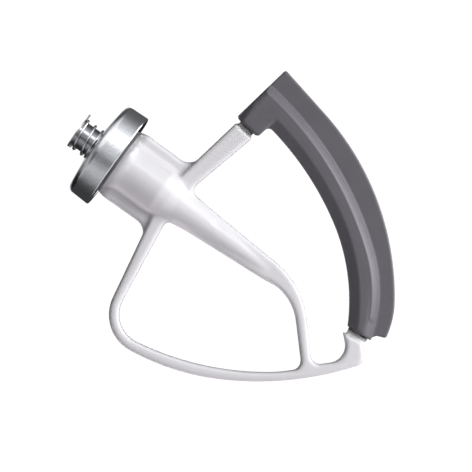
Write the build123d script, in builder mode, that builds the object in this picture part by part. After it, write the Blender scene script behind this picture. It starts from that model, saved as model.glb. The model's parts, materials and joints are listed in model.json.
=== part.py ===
from build123d import *
from math import cos, radians, sin
import os

# Flat beater for a stand mixer: a coated casting with a moulded scraper edge,
# a pressed steel cap, and the stub of the drive shaft that it hangs on.
# Millimetres. Z runs up the shaft, X points to the scraper, and the origin is
# the middle of the shaft's top face, with the beater hanging below it.

# Drive shaft, cross pin and washer
SHAFT_DIA = 12.7
SHAFT_LENGTH = 34.0
SHAFT_CHAMFER = 0.8
PIN_DIA = 4.76
PIN_LENGTH = 25.4
PIN_CHAMFER = 0.4
PIN_FIT = 0.02
WASHER_DIA = 15.6
WASHER_THICKNESS = 0.6
WASHER_FIT = 0.05
WASHER_TAB_REACH = 10.0
WASHER_TAB_WIDTH = 4.0

# Spring between washer and cap
SPRING_WIRE_DIA = 1.2
SPRING_OUTSIDE_DIA = 15.6
SPRING_TURNS = 3
SPRING_FLAT_TURNS = 0.45
SPRING_POINTS_PER_TURN = 12
SPRING_GAP = 0.02
SPRING_EASE = 0.2

# Pressed cap
CAP_TOP_Z = -10.25
CAP_THICKNESS = 0.9
CAP_SEAT_RADIUS = 9.5
CAP_SHOULDER_DIA = 47.2
CAP_RIM_DIA = 48.1
CAP_DOME_DROP = 1.7
CAP_RIM_Z = -22.7
CAP_SHOULDER_RADIUS = 3.0
CAP_HEM_RADIUS = 0.7
CAP_FIT = 0.05

# Bayonet inside the head
PUSH_TRAVEL = 4.0
SHAFT_CLEARANCE = 0.25
PIN_SIDE_CLEARANCE = 0.3
PIN_END_CLEARANCE = 0.9
SEAT_CLEARANCE = 0.05
SEAT_DEPTH = 2.4
DECK_THICKNESS = 5.0
CHANNEL_FLOOR_CLEARANCE = 0.6
BORE_END_CLEARANCE = 1.2
SLOT_ANGLE = 90.0
BAYONET_TURN = 70.0

# Head, neck and column
HEAD_BOTTOM_Z = -18.8
NECK_RADIUS = 17.2
NECK_BOTTOM_Z = -25.0
NECK_FLARE = 4.2
COLUMN_RADIUS = 11.8
COLUMN_END_Z = -47.0
SHOULDER_DROP = 7.0
SHOULDER_RADIUS = 9.9
SPINE_TOP_DROP = 15.0
SPINE_TOP_RADIUS = 8.3
SPINE_LOW_Z = -105.0
SPINE_LOW_RADIUS = 5.1
SPINE_TIP_Z = -121.0
SPINE_TIP_RADIUS = 2.5
SPINE_TIP_TAPER = 0.3

# Wings between column and arms
WING_MIDDLE_X = 0.4
WING_TOP_HALF_WIDTH = 17.5
WING_LOW_HALF_WIDTH = 17.2
WING_DEPTH = 5.0
WING_FOOT_Z = -46.0
WING_FOOT_END = (22.6, -52.6)
WING_ROOT_DEPTH = 1.4
WING_EDGE_RADIUS = 2.0

# Arms and loop: depth along Y and the corner points of the outline in X, Z
FRAME_DEPTH = 9.4
FRAME_EDGE_RADIUS = 1.8
ARM_CROWN = (0.0, -48.3)
ARM_TURN_START = (-52.0, -57.9)
ARM_TURN_END = (-67.1, -78.5)
LEG_MID = (-53.9, -119.3)
LEG_END = (-12.0, -167.1)
TOE_END = (-5.9, -166.8)
FOOT_LOW = (-1.6, -162.9)
FOOT_HIGH = (-3.1, -153.1)
FOOT_HOLLOW_START = (-6.3, -156.5)
FOOT_HOLLOW_END = (-18.0, -156.5)
CROTCH_RIGHT = (-24.0, -150.3)
SPINE_BEND_RIGHT_END = (-9.0, -137.0)
SPINE_BEND_RIGHT_START = (5.2, -105.0)
ARMPIT_RIGHT = (8.2, -57.8)
ARM_END_LOW = (44.6, -67.0)
ARM_END_HIGH = (46.1, -57.0)
ARMPIT_LEFT = (-8.2, -56.9)
INNER_TURN_START = (-50.3, -62.3)
INNER_TURN_END = (-62.3, -78.5)
INNER_LEG_MID = (-38.4, -135.6)
INNER_LEG_END = (-31.1, -144.2)
CROTCH_LEFT = (-27.8, -147.5)
SPINE_BEND_LEFT_END = (-11.5, -132.4)
SPINE_BEND_LEFT_START = (-4.9, -108.0)
ARMPIT_RADIUS = 3.5
CROTCH_RADIUS = 4.3
CROWN_RADIUS = 20.0

# Scraper edge: body along the arc and thin blade outside it
TOP_EDGE_Z = -46.95
TOP_EDGE_SLOPE = -0.18
TOP_EDGE_RADIUS = 3.0
ENVELOPE_REACH = 200.0
BODY_DEPTH = 12.0
BODY_END_RADIUS = 0.8
BODY_ROOT_X = 69.2
BODY_ROOT_MID = (58.3, -103.1)
BODY_ROOT_KNEE = (35.5, -142.4)
BODY_ROOT_END = (1.2, -165.6)
BODY_INNER_X = 55.2
BODY_INNER_MID = (50.1, -86.0)
BODY_INNER_KNEE = (35.4, -119.8)
BODY_INNER_END = (0.4, -153.2)
INNER_BEVEL = 4.4
INNER_BEVEL_DEPTH = 3.4
INNER_BEVEL_ROUND = 1.0
OUTER_BEVEL = 4.0
OUTER_BEVEL_DEPTH = 4.5
OUTER_BEVEL_ROUND = 2.5
SOCKET_X = 49.2
SOCKET_MOUTH_HIGH = (48.3, -56.8)
SOCKET_MOUTH_LOW = (46.8, -67.4)
SOCKET_HEEL = (47.7, -68.9)
SOCKET_ROOT = (60.2, -71.4)
SOCKET_CORNER_RADIUS = 2.5
BLADE_THICKNESS = 2.4
BLADE_TIP_RADIUS = 0.9
BLADE_CORNER_RADIUS = 1.1
BLADE_NOTCH_RADIUS = 1.5
BLADE_TOP_X = 79.3
BLADE_STRAIGHT_END = (73.5, -87.7)
BLADE_MID = (56.3, -128.6)
BLADE_KNEE = (22.3, -164.1)
BLADE_HEEL = (6.2, -170.7)
BLADE_NOTCH = (4.5, -166.5)
BLADE_ANCHORS = ((2.4, -165.2), (6.0, -161.0), (32.0, -138.0), (54.0, -103.0))
BLADE_ANCHOR_X = 64.0

# Core of the casting under the scraper edge
CORE_DEPTH = 6.0
CORE_FIT = 0.05
CORE_NECK_HIGH = (44.0, -57.6)
CORE_SOCKET_HIGH = (60.5, -60.6)
CORE_OUTER_MID = (53.2, -101.2)
CORE_OUTER_KNEE = (31.6, -138.6)
CORE_TOE_LOW = (-4.0, -162.4)
CORE_TOE_HIGH = (-4.0, -155.2)
CORE_INNER_KNEE = (29.4, -133.6)
CORE_INNER_MID = (48.6, -98.8)
CORE_ELBOW = (56.0, -67.6)
CORE_NECK_LOW = (43.0, -65.6)
FOOT_COLLAR = ((-4.4, -155.0), (0.2, -154.6), (0.8, -164.3), (-4.4, -162.8))

# Worked out from the sizes above
shaft_radius = SHAFT_DIA / 2
pin_radius = PIN_DIA / 2
spring_wire_radius = SPRING_WIRE_DIA / 2
spring_radius = SPRING_OUTSIDE_DIA / 2 - spring_wire_radius
spring_top_z = -WASHER_THICKNESS - SPRING_GAP - spring_wire_radius
spring_bottom_z = CAP_TOP_Z + SPRING_GAP + spring_wire_radius
bore_radius = shaft_radius + SHAFT_CLEARANCE
slot_width = PIN_DIA + 2 * PIN_SIDE_CLEARANCE
slot_length = PIN_LENGTH + 2 * PIN_END_CLEARANCE
channel_radius = slot_length / 2
head_top_z = CAP_TOP_Z - CAP_THICKNESS - CAP_FIT
deck_bottom_z = head_top_z - DECK_THICKNESS
seat_roof_z = deck_bottom_z + SEAT_DEPTH
pin_z = seat_roof_z - SEAT_CLEARANCE - pin_radius
channel_floor_z = pin_z - pin_radius - PUSH_TRAVEL - CHANNEL_FLOOR_CLEARANCE
bore_floor_z = -SHAFT_LENGTH - PUSH_TRAVEL - BORE_END_CLEARANCE
shoulder_z = COLUMN_END_Z - SHOULDER_DROP
spine_top_z = COLUMN_END_Z - SPINE_TOP_DROP
wing_root_z = WING_FOOT_END[1] - WING_ROOT_DEPTH
seat_angle = SLOT_ANGLE + BAYONET_TURN


def top_edge(x):
    """Point on the sloping top edge of the scraper."""
    return (x, TOP_EDGE_Z + TOP_EDGE_SLOPE * x)


def in_space(point):
    """Point on the beater's middle plane from its X and Z."""
    return Vector(point[0], 0, point[1])


def rim_near(face, point):
    """The edge of a flat side that lies nearest to a point of its outline."""
    return face.edges().sort_by_distance(in_space(point) + Vector(0, face.center().Y, 0))[0]


def cap_corners(inset):
    """Corners of the cap's outside in radius and Z, moved in by a distance."""
    return [
        (CAP_SEAT_RADIUS, CAP_TOP_Z - inset),
        (CAP_SHOULDER_DIA / 2 - inset, CAP_TOP_Z - CAP_DOME_DROP - inset),
        (CAP_RIM_DIA / 2 - inset, CAP_RIM_Z),
    ]


def skirt_point(z, inset):
    """Point on the skirt at a height, moved in from its outside by a distance."""
    shoulder, rim = cap_corners(inset)[1:]
    share = (z - shoulder[1]) / (rim[1] - shoulder[1])
    return (shoulder[0] + (rim[0] - shoulder[0]) * share, z)


def spring_point(turn):
    """Point on the wire's middle line after a number of turns from the top."""
    angle = radians(180 + 360 * turn)
    ramp = (turn - SPRING_FLAT_TURNS) / (SPRING_TURNS - 2 * SPRING_FLAT_TURNS)
    share = min(max(ramp, 0), 1)
    smooth = share * share * (3 - 2 * share)
    eased = share + SPRING_EASE * (smooth - share)
    z = spring_top_z + (spring_bottom_z - spring_top_z) * eased
    return (spring_radius * cos(angle), spring_radius * sin(angle), z)


# Drive shaft: round bar with a cross hole for the pin
with BuildPart() as drive_shaft:
    with BuildSketch(Plane.XY):
        Circle(shaft_radius)
    extrude(amount=-SHAFT_LENGTH)
    chamfer(drive_shaft.faces().sort_by(Axis.Z)[0].edges(), SHAFT_CHAMFER)
    with BuildSketch(Plane.YZ.rotated((0, 0, seat_angle)).offset(-SHAFT_DIA)):
        with Locations((0, pin_z)):
            Circle(pin_radius + PIN_FIT)
    extrude(amount=2 * SHAFT_DIA, mode=Mode.SUBTRACT)
drive_shaft.part.label = "drive_shaft"

# Cross pin, held in the shaft, with chamfered ends
with BuildPart() as drive_pin:
    with BuildSketch(Plane.YZ.rotated((0, 0, seat_angle)).offset(-PIN_LENGTH / 2)):
        with Locations((0, pin_z)):
            Circle(pin_radius)
    extrude(amount=PIN_LENGTH)
    chamfer(drive_pin.edges().filter_by(GeomType.CIRCLE), PIN_CHAMFER)
drive_pin.part.label = "drive_pin"

# Thin washer flush with the shaft's top, with a tab towards the scraper side
with BuildPart() as thrust_washer:
    with BuildSketch(Plane.XY):
        Circle(WASHER_DIA / 2)
        with Locations((WASHER_TAB_REACH / 2, 0)):
            Rectangle(WASHER_TAB_REACH, WASHER_TAB_WIDTH)
        Circle(shaft_radius + WASHER_FIT, mode=Mode.SUBTRACT)
    extrude(amount=-WASHER_THICKNESS)
thrust_washer.part.label = "thrust_washer"

# Left-hand compression spring with flattened end coils
with BuildPart() as shaft_spring:
    with BuildLine() as wire_line:
        point_count = SPRING_TURNS * SPRING_POINTS_PER_TURN + 1
        Spline(*[spring_point(i / SPRING_POINTS_PER_TURN) for i in range(point_count)])
    with BuildSketch(Plane(origin=wire_line.line @ 0, z_dir=wire_line.line % 0)):
        Circle(spring_wire_radius)
    sweep(path=wire_line.line, is_frenet=False)
shaft_spring.part.label = "shaft_spring"

# Pressed cap: dome with a keyhole for shaft and pin, flared skirt, rolled hem
with BuildPart() as hub_cap:
    with BuildSketch(Plane.XZ):
        with BuildLine():
            outside = cap_corners(0)
            inside = cap_corners(CAP_THICKNESS)
            Polyline(
                (bore_radius, CAP_TOP_Z),
                *outside,
                inside[2],
                inside[1],
                inside[0],
                (bore_radius, CAP_TOP_Z - CAP_THICKNESS),
                close=True,
            )
        make_face()
        shoulder_out = vertices().sort_by_distance((*outside[1], 0))[0]
        fillet(shoulder_out, CAP_SHOULDER_RADIUS)
        shoulder_in = vertices().sort_by_distance((*inside[1], 0))[0]
        fillet(shoulder_in, CAP_SHOULDER_RADIUS - CAP_THICKNESS)
        with Locations((CAP_RIM_DIA / 2 - CAP_HEM_RADIUS, CAP_RIM_Z)):
            Circle(CAP_HEM_RADIUS)
    revolve(axis=Axis.Z)
    with BuildSketch(Plane.XY.offset(CAP_TOP_Z)):
        Rectangle(slot_length, slot_width, rotation=SLOT_ANGLE)
    extrude(amount=CAP_RIM_Z - CAP_TOP_Z, mode=Mode.SUBTRACT)
hub_cap.part.label = "hub_cap"

# Outline of the core that carries the scraper edge
with BuildSketch(Plane.XZ) as core_outline:
    with BuildLine():
        Line(CORE_NECK_HIGH, CORE_SOCKET_HIGH)
        outer_core = ThreePointArc(CORE_SOCKET_HIGH, CORE_OUTER_MID, CORE_OUTER_KNEE)
        TangentArc(CORE_OUTER_KNEE, CORE_TOE_LOW, tangent=outer_core % 1)
        Line(CORE_TOE_LOW, CORE_TOE_HIGH)
        inner_core = ThreePointArc(CORE_ELBOW, CORE_INNER_MID, CORE_INNER_KNEE)
        TangentArc(CORE_INNER_KNEE, CORE_TOE_HIGH, tangent=inner_core % 1)
        Line(CORE_ELBOW, CORE_NECK_LOW)
        Line(CORE_NECK_LOW, CORE_NECK_HIGH)
    make_face()

# Bar of the arms, the loop, the foot and the low end of the spine
with BuildPart() as frame_bar:
    with BuildSketch(Plane.XZ):
        with BuildLine():
            arm_top = Line(ARM_CROWN, ARM_TURN_START)
            turn = TangentArc(ARM_TURN_START, ARM_TURN_END, tangent=arm_top % 1)
            leg = TangentArc(ARM_TURN_END, LEG_MID, tangent=turn % 1)
            leg_low = TangentArc(LEG_MID, LEG_END, tangent=leg % 1)
            TangentArc(LEG_END, TOE_END, tangent=leg_low % 1)
            Polyline(TOE_END, FOOT_LOW, FOOT_HIGH, FOOT_HOLLOW_START)
            hollow_start = Vector(*FOOT_HOLLOW_START) - Vector(*FOOT_HIGH)
            TangentArc(FOOT_HOLLOW_START, FOOT_HOLLOW_END, tangent=hollow_start)
            spine_low = Polyline(FOOT_HOLLOW_END, CROTCH_RIGHT, SPINE_BEND_RIGHT_END)
            TangentArc(
                SPINE_BEND_RIGHT_END, SPINE_BEND_RIGHT_START, tangent=spine_low % 1
            )
            Polyline(
                SPINE_BEND_RIGHT_START,
                ARMPIT_RIGHT,
                ARM_END_LOW,
                ARM_END_HIGH,
                ARM_CROWN,
            )
        make_face()
        with BuildLine():
            arm_bottom = Line(ARMPIT_LEFT, INNER_TURN_START)
            inner_turn = TangentArc(
                INNER_TURN_START, INNER_TURN_END, tangent=arm_bottom % 1
            )
            inner_leg = TangentArc(INNER_TURN_END, INNER_LEG_MID, tangent=inner_turn % 1)
            TangentArc(INNER_LEG_MID, INNER_LEG_END, tangent=inner_leg % 1)
            bend_out = Polyline(INNER_LEG_END, CROTCH_LEFT, SPINE_BEND_LEFT_END)
            TangentArc(
                SPINE_BEND_LEFT_END, SPINE_BEND_LEFT_START, tangent=bend_out % 1
            )
            Line(SPINE_BEND_LEFT_START, ARMPIT_LEFT)
        make_face(mode=Mode.SUBTRACT)
        for corner, radius in (
            (ARMPIT_LEFT, ARMPIT_RADIUS),
            (ARMPIT_RIGHT, ARMPIT_RADIUS),
            (CROTCH_LEFT, CROTCH_RADIUS),
            (CROTCH_RIGHT, CROTCH_RADIUS),
            (ARM_CROWN, CROWN_RADIUS),
        ):
            fillet(vertices().sort_by_distance((*corner, 0))[0], radius)
    extrude(amount=FRAME_DEPTH / 2, both=True)
    fillet(faces().filter_by(Axis.Y).edges(), FRAME_EDGE_RADIUS)

# Wings: the thin web on both sides of the column, flaring into the arms
with BuildPart() as wings:
    with BuildSketch(Plane((WING_MIDDLE_X, 0, 0), x_dir=(1, 0, 0), z_dir=(0, -1, 0))):
        with BuildLine():
            flank = Line(
                (WING_TOP_HALF_WIDTH, HEAD_BOTTOM_Z), (WING_LOW_HALF_WIDTH, WING_FOOT_Z)
            )
            TangentArc(flank @ 1, WING_FOOT_END, tangent=flank % 1)
            Polyline(
                WING_FOOT_END,
                (WING_FOOT_END[0], wing_root_z),
                (0, wing_root_z),
                (0, HEAD_BOTTOM_Z),
                flank @ 0,
            )
        make_face()
        mirror(about=Plane.YZ)
    extrude(amount=WING_DEPTH / 2, both=True)
    rim = faces().filter_by(Axis.Y).edges()
    flank_near = WING_LOW_HALF_WIDTH - WING_EDGE_RADIUS
    flank_far = WING_FOOT_END[0] - WING_EDGE_RADIUS
    fillet(
        rim.filter_by_position(Axis.X, WING_MIDDLE_X + flank_near, WING_MIDDLE_X + flank_far)
        + rim.filter_by_position(Axis.X, WING_MIDDLE_X - flank_far, WING_MIDDLE_X - flank_near),
        WING_EDGE_RADIUS,
    )

# Casting: head, column and spine, wings, arms with loop and foot, and the core
with BuildPart() as beater_casting:
    add(frame_bar.part)
    add(wings.part)
    # Head, neck, column and the tapering spine are turned about the shaft axis
    with BuildSketch(Plane.XZ):
        with BuildLine():
            head = cap_corners(CAP_THICKNESS + CAP_FIT)
            Polyline(
                (0, SPINE_TIP_Z),
                (0, head_top_z),
                head[0],
                head[1],
                skirt_point(HEAD_BOTTOM_Z, CAP_THICKNESS + CAP_FIT),
                (NECK_RADIUS, HEAD_BOTTOM_Z),
                (NECK_RADIUS, NECK_BOTTOM_Z),
            )
            flare_end = (COLUMN_RADIUS, NECK_BOTTOM_Z - NECK_FLARE)
            TangentArc(flare_end, (NECK_RADIUS, NECK_BOTTOM_Z), tangent=(0, 1))
            Line(flare_end, (COLUMN_RADIUS, COLUMN_END_Z))
            Spline(
                (COLUMN_RADIUS, COLUMN_END_Z),
                (SHOULDER_RADIUS, shoulder_z),
                (SPINE_TOP_RADIUS, spine_top_z),
                (SPINE_LOW_RADIUS, SPINE_LOW_Z),
                (SPINE_TIP_RADIUS, SPINE_TIP_Z),
                tangents=((0, -1), (-SPINE_TIP_TAPER, -1)),
            )
            Line((SPINE_TIP_RADIUS, SPINE_TIP_Z), (0, SPINE_TIP_Z))
        make_face()
        head_corner = vertices().sort_by_distance((*head[1], 0))[0]
        fillet(head_corner, CAP_SHOULDER_RADIUS - CAP_THICKNESS - CAP_FIT)
    revolve(axis=Axis.Z)
    # Core under the scraper edge, with the collar that fills its end at the foot
    with BuildSketch(Plane.XZ):
        add(core_outline.sketch)
        with BuildLine():
            Polyline(*FOOT_COLLAR, close=True)
        make_face()
    extrude(amount=CORE_DEPTH / 2, both=True)
    # Bore for the shaft, entry slot through the deck, turning channel and seats
    with BuildSketch(Plane.XY.offset(head_top_z)):
        Circle(bore_radius)
    extrude(amount=bore_floor_z - head_top_z, mode=Mode.SUBTRACT)
    with BuildSketch(Plane.XY.offset(head_top_z)):
        Rectangle(slot_length, slot_width, rotation=SLOT_ANGLE)
    extrude(amount=-DECK_THICKNESS, mode=Mode.SUBTRACT)
    with BuildSketch(Plane.XY.offset(deck_bottom_z)):
        Circle(channel_radius)
    extrude(amount=channel_floor_z - deck_bottom_z, mode=Mode.SUBTRACT)
    with BuildSketch(Plane.XY.offset(deck_bottom_z)):
        Rectangle(slot_length, slot_width, rotation=seat_angle)
    extrude(amount=SEAT_DEPTH, mode=Mode.SUBTRACT)
beater_casting.part.label = "beater_casting"

# Bevelled body of the scraper edge with the socket block over the arm's neck
with BuildPart() as edge_body:
    with BuildSketch(Plane.XZ):
        with BuildLine():
            root = ThreePointArc(top_edge(BODY_ROOT_X), BODY_ROOT_MID, BODY_ROOT_KNEE)
            TangentArc(BODY_ROOT_KNEE, BODY_ROOT_END, tangent=root % 1)
            Line(BODY_ROOT_END, BODY_INNER_END)
            inner = ThreePointArc(top_edge(BODY_INNER_X), BODY_INNER_MID, BODY_INNER_KNEE)
            TangentArc(BODY_INNER_KNEE, BODY_INNER_END, tangent=inner % 1)
            Line(inner @ 0, root @ 0)
        make_face()
    extrude(amount=BODY_DEPTH / 2, both=True)
    for middle, width, depth in (
        (BODY_INNER_MID, INNER_BEVEL, INNER_BEVEL_DEPTH),
        (BODY_ROOT_MID, OUTER_BEVEL, OUTER_BEVEL_DEPTH),
    ):
        for face in faces().filter_by(Axis.Y):
            chamfer(rim_near(face, middle), width, depth, reference=face)
    for middle, radius in (
        (BODY_INNER_MID, INNER_BEVEL_ROUND),
        (BODY_ROOT_MID, OUTER_BEVEL_ROUND),
    ):
        for face in faces().filter_by(Axis.Y):
            fillet(rim_near(face, middle), radius)
    with BuildSketch(Plane.XZ):
        with BuildLine():
            Polyline(
                top_edge(SOCKET_X),
                top_edge(SOCKET_ROOT[0]),
                SOCKET_ROOT,
                SOCKET_HEEL,
                SOCKET_MOUTH_LOW,
                SOCKET_MOUTH_HIGH,
                close=True,
            )
        make_face()
    extrude(amount=BODY_DEPTH / 2, both=True)
    # Inward corner under the block, between its underside and the body's thin inner wall
    thin_wall = edges().filter_by(Axis.Y).filter_by(lambda side: side.length < BODY_DEPTH / 2)
    fillet(thin_wall.sort_by_distance(in_space(SOCKET_ROOT))[0], SOCKET_CORNER_RADIUS)
    for high, low in (
        (BODY_INNER_END, BODY_ROOT_END),
        (SOCKET_MOUTH_HIGH, SOCKET_MOUTH_LOW),
    ):
        end_face = faces().sort_by_distance((in_space(high) + in_space(low)) / 2)[0]
        fillet(end_face.edges().filter_by(Axis.Y, reverse=True), BODY_END_RADIUS)
    # Rounded envelope over the sloping top
    with BuildSketch(
        Plane(in_space(top_edge(0)), x_dir=(0, 1, 0), z_dir=(1, 0, TOP_EDGE_SLOPE))
    ):
        Rectangle(BODY_DEPTH, ENVELOPE_REACH, align=(Align.CENTER, Align.MAX))
        fillet(vertices().group_by(Axis.Y)[-1], TOP_EDGE_RADIUS)
    extrude(amount=ENVELOPE_REACH, both=True, mode=Mode.INTERSECT)

# Scraper edge: the body, the thin blade and the cavity for the core
with BuildPart() as flex_edge:
    with BuildSketch(Plane.XZ):
        with BuildLine():
            tip = Line(top_edge(BLADE_TOP_X), BLADE_STRAIGHT_END)
            sweep_out = TangentArc(BLADE_STRAIGHT_END, BLADE_KNEE, tangent=tip % 1)
            TangentArc(BLADE_KNEE, BLADE_HEEL, tangent=sweep_out % 1)
            Polyline(BLADE_HEEL, BLADE_NOTCH, *BLADE_ANCHORS, top_edge(BLADE_ANCHOR_X))
            Line(top_edge(BLADE_ANCHOR_X), tip @ 0)
        make_face()
        for corner, radius in (
            (top_edge(BLADE_TOP_X), BLADE_CORNER_RADIUS),
            (BLADE_HEEL, BLADE_CORNER_RADIUS),
            (BLADE_NOTCH, BLADE_NOTCH_RADIUS),
        ):
            fillet(vertices().sort_by_distance((*corner, 0))[0], radius)
    extrude(amount=BLADE_THICKNESS / 2, both=True)
    for face in faces().filter_by(Axis.Y):
        fillet(rim_near(face, BLADE_MID), BLADE_TIP_RADIUS)
    add(edge_body.part)
    with BuildSketch(Plane.XZ):
        add(core_outline.sketch)
        offset(amount=CORE_FIT)
    extrude(amount=CORE_DEPTH / 2 + CORE_FIT, both=True, mode=Mode.SUBTRACT)
flex_edge.part.label = "flex_edge"

os.makedirs("parts", exist_ok=True)
for piece in (
    drive_shaft,
    drive_pin,
    thrust_washer,
    shaft_spring,
    hub_cap,
    beater_casting,
    flex_edge,
):
    export_step(piece.part, f"parts/{piece.part.label}.step")
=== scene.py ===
import json
import math

import bmesh
import bpy
import numpy as np
from mathutils import Matrix, Vector
from mathutils.bvhtree import BVHTree


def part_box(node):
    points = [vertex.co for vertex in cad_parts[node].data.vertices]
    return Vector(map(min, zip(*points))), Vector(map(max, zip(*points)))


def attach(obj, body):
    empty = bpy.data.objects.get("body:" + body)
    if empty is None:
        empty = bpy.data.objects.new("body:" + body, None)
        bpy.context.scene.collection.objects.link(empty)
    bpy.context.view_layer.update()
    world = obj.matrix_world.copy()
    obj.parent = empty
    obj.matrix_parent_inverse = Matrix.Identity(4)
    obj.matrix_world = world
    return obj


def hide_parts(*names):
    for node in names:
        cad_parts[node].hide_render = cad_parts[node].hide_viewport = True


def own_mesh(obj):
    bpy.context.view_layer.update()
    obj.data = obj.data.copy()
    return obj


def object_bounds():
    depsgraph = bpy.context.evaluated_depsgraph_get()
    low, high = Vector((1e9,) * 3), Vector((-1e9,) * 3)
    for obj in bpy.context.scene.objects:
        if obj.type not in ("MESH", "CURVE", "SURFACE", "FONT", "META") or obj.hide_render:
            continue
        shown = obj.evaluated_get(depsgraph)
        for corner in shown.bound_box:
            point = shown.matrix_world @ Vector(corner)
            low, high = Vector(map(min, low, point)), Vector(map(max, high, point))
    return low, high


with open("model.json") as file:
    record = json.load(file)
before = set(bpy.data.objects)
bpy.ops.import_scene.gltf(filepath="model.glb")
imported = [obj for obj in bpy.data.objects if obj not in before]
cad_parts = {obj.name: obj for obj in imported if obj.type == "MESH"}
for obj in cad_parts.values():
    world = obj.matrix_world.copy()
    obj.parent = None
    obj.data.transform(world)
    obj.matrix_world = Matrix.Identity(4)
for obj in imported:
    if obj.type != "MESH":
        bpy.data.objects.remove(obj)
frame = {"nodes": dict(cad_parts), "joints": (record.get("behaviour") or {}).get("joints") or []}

bl_info = {
    "name": "Flat Beater Dresser",
    "version": (1, 0, 0),
    "blender": (4, 5, 0),
    "location": "3D View > Sidebar > Beater",
    "description": "Gives a packed flat beater its coating, steel, rubber and studio",
    "category": "Object",
}

MM = 0.001
CAD_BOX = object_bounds()
CASTING_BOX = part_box("beater_casting")
SCRAPER_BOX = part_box("flex_edge")
CAP_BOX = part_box("hub_cap")
SPRING_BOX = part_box("shaft_spring")
PUSH_JOINT = frame["joints"][0]

# The cap's rim, and the radius and top of the hollow inside it, where the steel gets painted
# shade
CAP_RIM = CAP_BOX[0].z
CAP_HOLLOW = (CAP_BOX[1].y - 0.6 * MM, CAP_RIM + 8.5 * MM)

# Smoothing a surface grid
WELD_GAP = 0.002 * MM
EVEN_FORTH = 0.6
EVEN_BACK = -0.62
FILL_STEP = 0.5
NORMALS_EVERY = 8

# Where the casting's smoothing fades in, going away from the scraper, the pin and the rim
SCRAPER_FADE = (1.5 * MM, 6 * MM)
PIN_FADE = (1.5 * MM, 4 * MM)
FILL_BELOW_RIM = (6 * MM, 2 * MM)
RIM_FADE = 0.3 * MM

# Where the extra room for the pin fades out, going away from it
PIN_ROOM_FADE = (0.3 * MM, 1 * MM)

# The neck: how far it reaches past the rim, how far outwards the drawn-in surface faces,
# and where it softens, as a share of its height
NECK_PAST_RIM = 1 * MM
NECK_FACING = (0, 0.3)
NECK_SOFTENING = (0, 0.3)

# The groove between casting and scraper: the painted shade of its dark and its dim part, and the
# gap that is left
GROOVE_DARK = (0.9 * MM, 1.4 * MM)
GROOVE_DIM = (1.8 * MM, 2.6 * MM)
GROOVE_DIM_PAINTED_SHADE = 0.5
SEAT_REACH = 0.5 * MM
SEAT_GAP = 0.03 * MM
SEAT_FACING = 0.7

# The scraper: half thicknesses, and where the body's top edge starts and ends in X and Z
BODY_HALF = SCRAPER_BOX[1].y
BLADE_HALF = 1.2 * MM
BODY_FADE = (0.4 * BODY_HALF, 0.65 * BODY_HALF)
BODY_TOP_START = (48.3 * MM, -55.6 * MM)
BODY_TOP_END = (66.0 * MM, -58.8 * MM)
TOP_SLOPE_LEAD = -0.2
TOP_SLOPE_TAPER = 0.88
TOP_SLOPE_PITCH = 1.2
RIDGE_FACING = 0.3
BLADE_EVEN_ROUNDS = 4

# Handling marks: how many to a metre, and how much rougher they are than a clean surface
COATING_MARKS = (38.0, 0.1)
RUBBER_MARKS = (75.0, 0.09)
STEEL_MARKS = (150.0, 0.08)

# Turned and polished rings: how many to a metre, and how deep
CAP_RINGS = (2500, 0.003 * MM)
TURNED_RINGS = (5000, 0.004 * MM)
WIRE_RINGS = (6000, 0.004 * MM)

# The skin of paint, rubber and pressed steel, and the darkest grey of the shade painted on the
# coating
SKIN_DEPTH = 0.02 * MM
CAP_MOTTLE_DEPTH = 0.05 * MM
FINE_SKIN_WAVES = 900.0
PAINTED_SHADE_GREY = (0.01, 0.01, 0.01)

# How finely the wire is made
STEPS_PER_TURN = 64
WIRE_SIDES = 20

# The stage
SOFT_WHITE = (1.0, 1.0, 1.0)
ROOM_TINT = (0.99, 1.0, 1.03, 1)
BACKDROP_STRENGTH = 1.05
FLOOR_GREY = (0.8, 0.8, 0.8)
FLOOR_GLOW = 0.42
FLOOR_SIDES = 96
PANEL_SIZE = 0.9
PANEL_DISTANCE = 1.5
SENSOR_WIDTH = 36
CAMERA_CLIP = (0.05, 50)

# Soft panels: name, azimuth, elevation, radiance and colour
WARM_WHITE = (1.0, 0.995, 1.0)
LAVENDER = (1.0, 0.93, 1.0)
PANELS = [
    ("key_panel", 60, -30, 9.0, WARM_WHITE),
    ("low_panel", 60, -60, 0.8, WARM_WHITE),
    ("front_panel", 0, -20, 2.8, WARM_WHITE),
    ("top_panel", 30, 60, 0.3, WARM_WHITE),
    ("left_panel", -60, -30, 0.8, LAVENDER),
    ("side_panel", -90, -40, 2.2, LAVENDER),
    ("rim_panel", -120, 0, 6.0, LAVENDER),
]

# What the steel and the coating reflect: brightness by azimuth, then by elevation
WALLS = (
    [(-180, 0.05), (-113, 0.05), (-88, 0.10), (-82, 0.14), (-76, 0.28), (-60, 0.42)]
    + [(-49, 0.57), (-41, 0.60), (-32, 0.50), (-24, 0.36), (-19, 0.15), (-15, 0.15)]
    + [(-10, 0.38), (0, 0.50), (12, 0.56), (22, 0.74), (30, 1.3), (36, 3.2)]
    + [(46, 3.2), (54, 1.3), (60, 1.0), (70, 0.80), (78, 0.66), (88, 0.42)]
    + [(97, 0.28), (113, 0.15), (133, 0.12), (180, 0.08)],
    [(-90, 0.10), (-40, 0.18), (-18, 1.0), (8, 1.0), (15, 0.4), (24, 0.2), (90, 0.0)],
)
OVERHEAD = (
    [(-180, 0.0), (-95, 0.0), (-85, 0.40), (-50, 0.45), (-42, 0.06), (-16, 0.06)]
    + [(-6, 0.1), (6, 1.0), (60, 1.0), (95, 0.6), (110, 0.1), (180, 0.0)],
    [(-90, 0.0), (9, 0.0), (14, 1.0), (75, 1.0), (85, 0.2), (90, 0.1)],
)
REAR_GLOW = (
    [(-180, 0.6), (-168, 0.6), (-158, 0.0), (158, 0.0), (168, 0.6), (180, 0.6)],
    [(-90, 0.0), (6, 0.0), (10, 1.0), (26, 1.0), (32, 0.0), (90, 0.0)],
)
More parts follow.
